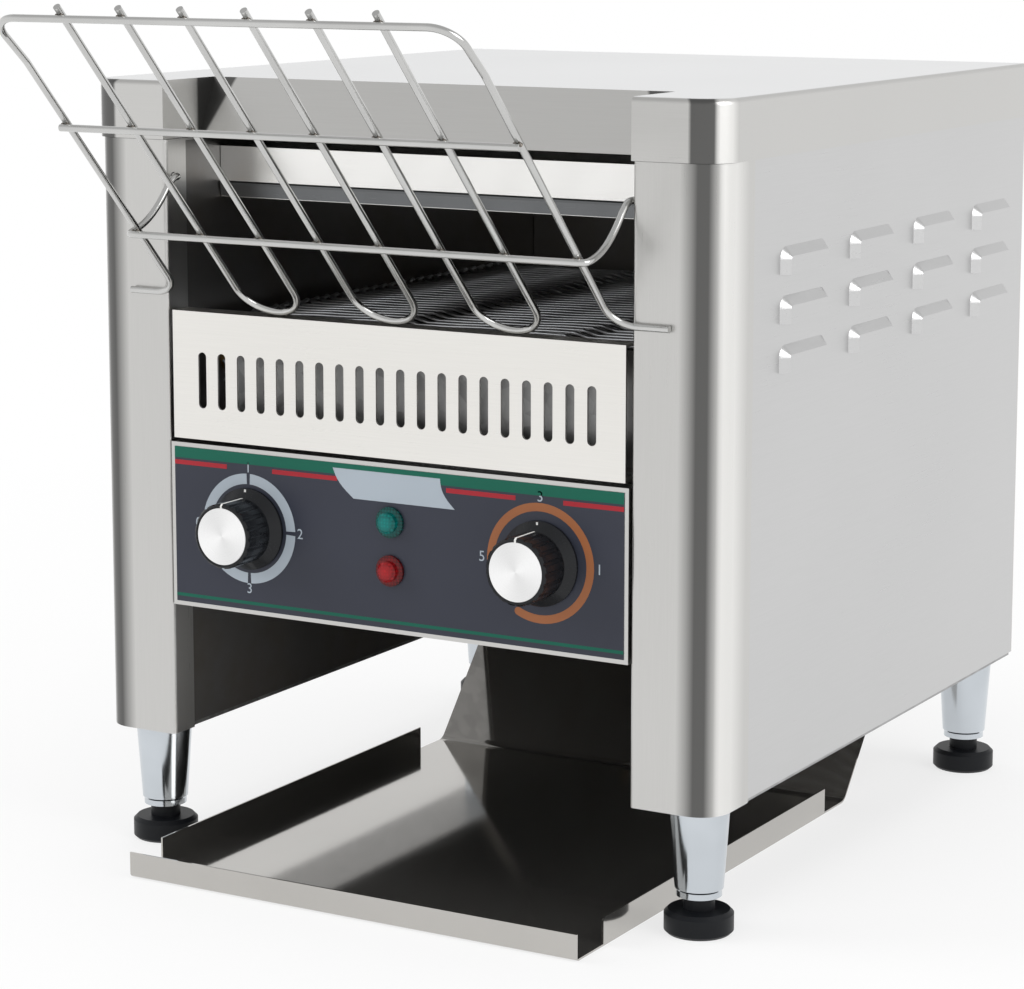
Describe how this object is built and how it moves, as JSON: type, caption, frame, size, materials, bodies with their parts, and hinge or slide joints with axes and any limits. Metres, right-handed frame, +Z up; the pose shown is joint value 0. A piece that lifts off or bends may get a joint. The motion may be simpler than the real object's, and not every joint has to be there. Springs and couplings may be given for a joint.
{
  "type": "conveyor toaster",
  "caption": "Countertop conveyor toaster: wire belt between heating elements, sloping wire loading rack, two dials, low polished toast tray and adjustable legs.",
  "frame": {"origin": "on the counter under the feet, in the middle of the overall footprint, which reaches from the rack's top rod to the cord gland", "axes": "+X to the viewer's right, +Y from the front to the back, +Z up"},
  "size_m": [0.376, 0.5584, 0.458],
  "materials": {
    "brushed_steel_sheet": "satin, brushed",
    "polished_steel_sheet": "polished, dark reflection",
    "galvanised_sheet": "dull spangled zinc",
    "aluminised_sheet": "dull, heat stained",
    "chrome": "bright plated",
    "rack_wire": "bright plated wire",
    "belt_wire": "bright drawn wire",
    "machined_steel": "machined",
    "chain_steel": "oiled",
    "bronze": "sintered bronze",
    "element_sheath": "oxidised sheath",
    "ceramic": "white ceramic, unglazed",
    "black_rubber": "matte",
    "black_plastic": "moulded, semi gloss",
    "overlay_print": "printed film, satin",
    "spun_cap": "spun face",
    "green_lens": "clear green",
    "red_lens": "clear red",
    "motor_case": "cast and laminated",
    "zinc_screw": "zinc plated"
  },
  "bodies": {
    "housing": {"lid": "brushed_steel_sheet", "left_post": "brushed_steel_sheet", "right_post": "brushed_steel_sheet", "left_side_panel": "brushed_steel_sheet", "right_side_panel": "brushed_steel_sheet", "rear_panel": "brushed_steel_sheet", "slotted_front_panel": "brushed_steel_sheet", "control_panel": "brushed_steel_sheet", "left_inner_wall": "aluminised_sheet", "right_inner_wall": "aluminised_sheet", "rear_chute": "aluminised_sheet", "control_shield": "galvanised_sheet", "left_base_pan": "galvanised_sheet", "right_base_pan": "galvanised_sheet", "heat_shield": "galvanised_sheet", "upper_reflector": "aluminised_sheet", "lower_reflector": "aluminised_sheet", "motor_bracket": "galvanised_sheet", "wire_belt": "belt_wire", "drive_chain": "chain_steel", "shaft_bushes": "bronze", "heating_elements": "element_sheath", "element_bushes": "ceramic", "gear_motor": "motor_case", "cooling_fan_housing": "black_plastic", "terminal_block": "ceramic", "cord_gland": "black_plastic", "rotary_switch": "black_plastic", "speed_control": "black_plastic", "control_overlay": "overlay_print", "green_pilot_lamp": "green_lens", "red_pilot_lamp": "red_lens", "panel_screws": "zinc_screw", "leg_nuts": "zinc_screw", "front_left_leg": "chrome", "front_right_leg": "chrome", "rear_left_leg": "chrome", "rear_right_leg": "chrome"},
    "loading_rack": {"rack_frame_wire": "rack_wire", "rack_loop_wires": "rack_wire", "rack_cross_rod": "rack_wire", "rack_hook_rod": "rack_wire"},
    "toast_tray": {"tray": "polished_steel_sheet"},
    "element_dial": {"left_knob": "black_plastic", "left_knob_cap": "spun_cap", "left_spindle": "machined_steel"},
    "speed_dial": {"right_knob": "black_plastic", "right_knob_cap": "spun_cap", "right_spindle": "machined_steel"},
    "rear_belt_shaft": {"rear_shaft": "machined_steel", "rear_belt_sprockets": "machined_steel", "drive_sprocket": "machined_steel"},
    "front_belt_shaft": {"front_shaft": "machined_steel", "front_belt_sprockets": "machined_steel"},
    "motor_output": {"motor_sprocket": "machined_steel"},
    "fan": {"fan_rotor": "black_plastic"},
    "front_left_levelling_foot": {"front_left_foot": "black_rubber"},
    "front_right_levelling_foot": {"front_right_foot": "black_rubber"},
    "rear_left_levelling_foot": {"rear_left_foot": "black_rubber"},
    "rear_right_levelling_foot": {"rear_right_foot": "black_rubber"}
  },
  "joints": [
    {"name": "tray_slide", "type": "slide", "parent": "housing", "child": "toast_tray", "axis": [0, -1, 0], "range_m": [0, 0.3]},
    {"name": "rack_hinge", "type": "hinge", "parent": "housing", "child": "loading_rack", "pos_m": [0, -0.12294, 0.364], "axis": [-1, 0, 0], "range_deg": [0, 40]},
    {"name": "element_dial_turn", "type": "hinge", "parent": "housing", "child": "element_dial", "pos_m": [-0.087, -0.12974, 0.183], "axis": [0, 1, 0], "range_deg": [-90, 180]},
    {"name": "speed_dial_turn", "type": "hinge", "parent": "housing", "child": "speed_dial", "pos_m": [0.087, -0.12974, 0.183], "axis": [0, 1, 0], "range_deg": [-90, 205]},
    {"name": "belt_drive_turn", "type": "hinge", "parent": "housing", "child": "rear_belt_shaft", "pos_m": [0, 0.18706, 0.26237], "axis": [-1, 0, 0], "continuous": true, "deforming": ["wire_belt", "drive_chain"]},
    {"name": "belt_idler_turn", "type": "hinge", "parent": "housing", "child": "front_belt_shaft", "pos_m": [0, -0.07294, 0.26237], "axis": [-1, 0, 0], "continuous": true, "deforming": ["wire_belt"]},
    {"name": "motor_output_turn", "type": "hinge", "parent": "housing", "child": "motor_output", "pos_m": [0.15, 0.10506, 0.15179], "axis": [-1, 0, 0], "continuous": true, "deforming": ["drive_chain"]},
    {"name": "fan_spin", "type": "hinge", "parent": "housing", "child": "fan", "pos_m": [-0.172, 0.12966, 0.308], "axis": [1, 0, 0], "continuous": true},
    {"name": "front_left_foot_screw", "type": "slide", "parent": "housing", "child": "front_left_levelling_foot", "axis": [0, 0, -1], "range_m": [0, 0.01]},
    {"name": "front_right_foot_screw", "type": "slide", "parent": "housing", "child": "front_right_levelling_foot", "axis": [0, 0, -1], "range_m": [0, 0.01]},
    {"name": "rear_left_foot_screw", "type": "slide", "parent": "housing", "child": "rear_left_levelling_foot", "axis": [0, 0, -1], "range_m": [0, 0.01]},
    {"name": "rear_right_foot_screw", "type": "slide", "parent": "housing", "child": "rear_right_levelling_foot", "axis": [0, 0, -1], "range_m": [0, 0.01]}
  ],
  "couplings": [
    {"joint": "belt_idler_turn", "follows": "belt_drive_turn", "ratio": 1},
    {"joint": "motor_output_turn", "follows": "belt_drive_turn", "ratio": 2.2222}
  ]
}
